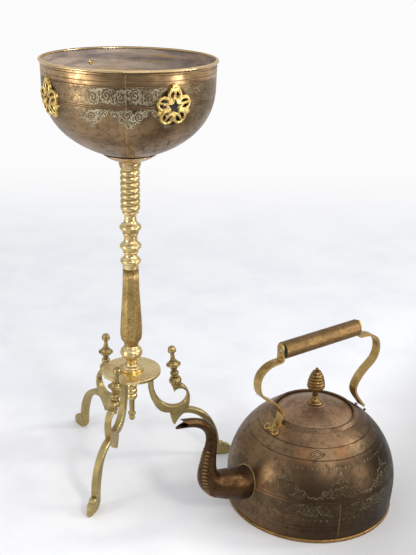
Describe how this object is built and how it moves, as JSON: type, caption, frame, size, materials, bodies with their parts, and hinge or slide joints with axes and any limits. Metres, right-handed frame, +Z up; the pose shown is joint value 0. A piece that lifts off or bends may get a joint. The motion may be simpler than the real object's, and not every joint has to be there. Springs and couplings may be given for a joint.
{
  "type": "brazier bowl on tripod column stand with matching kettle",
  "caption": "Tall tripod column stand carrying an open hemispherical bowl with pierced rosettes, and a large lidded dome kettle with gooseneck spout and a turning grip beside it.",
  "frame": {"origin": "centre of the whole set's bounding box, on the floor", "axes": "+Z up along the stand's column; +X towards the kettle; -Y towards the front leg"},
  "size_m": [0.6286, 0.398, 0.765],
  "materials": {
    "stand_brass": "worn satin, tarnished in the grooves",
    "bright_brass": "bright cast brass",
    "patinated_brass": "brown patina with grey-green verdigris",
    "coppery_brass": "polished, coppery brown",
    "yellow_brass": "worn polished brass",
    "dark_brass": "dark tarnish",
    "dark_steel": "plain",
    "grey_plug": "dull"
  },
  "bodies": {
    "stand": {"base_disc": "stand_brass", "bowl": "patinated_brass", "bowl_nut": "dark_steel", "bowl_saucer": "stand_brass", "bowl_washer": "dark_steel", "engraved_shaft": "stand_brass", "foot_turning": "stand_brass", "leg_back": "stand_brass", "leg_finial_back": "stand_brass", "leg_finial_front": "stand_brass", "leg_finial_right": "stand_brass", "leg_front": "stand_brass", "leg_right": "stand_brass", "pendant_spindle": "dark_brass", "ring_turning": "stand_brass", "ringed_nut": "dark_brass", "rosette_back_left": "bright_brass", "rosette_back_right": "bright_brass", "rosette_front_left": "bright_brass", "rosette_front_right": "bright_brass", "rosette_rivets": "bright_brass", "tie_rod": "dark_steel", "triple_knop_turning": "stand_brass"},
    "kettle": {"handle_rivets": "yellow_brass", "handle_rod": "dark_steel", "handle_strap_front": "yellow_brass", "handle_strap_rear": "yellow_brass", "kettle_base": "coppery_brass", "kettle_body": "coppery_brass", "lid_ring": "coppery_brass", "spout": "coppery_brass"},
    "lid": {"lid": "coppery_brass", "lid_collar": "yellow_brass", "lid_knob": "yellow_brass", "lid_nut": "yellow_brass"},
    "grip": {"grip_bush_front": "grey_plug", "grip_bush_rear": "grey_plug", "grip_tube": "yellow_brass"}
  },
  "joints": [
    {"name": "kettle_lift", "type": "slide", "parent": "stand", "child": "kettle", "axis": [0, 0, 1], "range_m": [0, 0.8]},
    {"name": "lid_lift", "type": "slide", "parent": "kettle", "child": "lid", "axis": [0, 0, 1], "range_m": [0, 0.035]},
    {"name": "grip_turn", "type": "hinge", "parent": "kettle", "child": "grip", "pos_m": [0.16609, -0.0396, 0.31144], "axis": [-0.8361, -0.5472, -0.0384], "continuous": true}
  ]
}
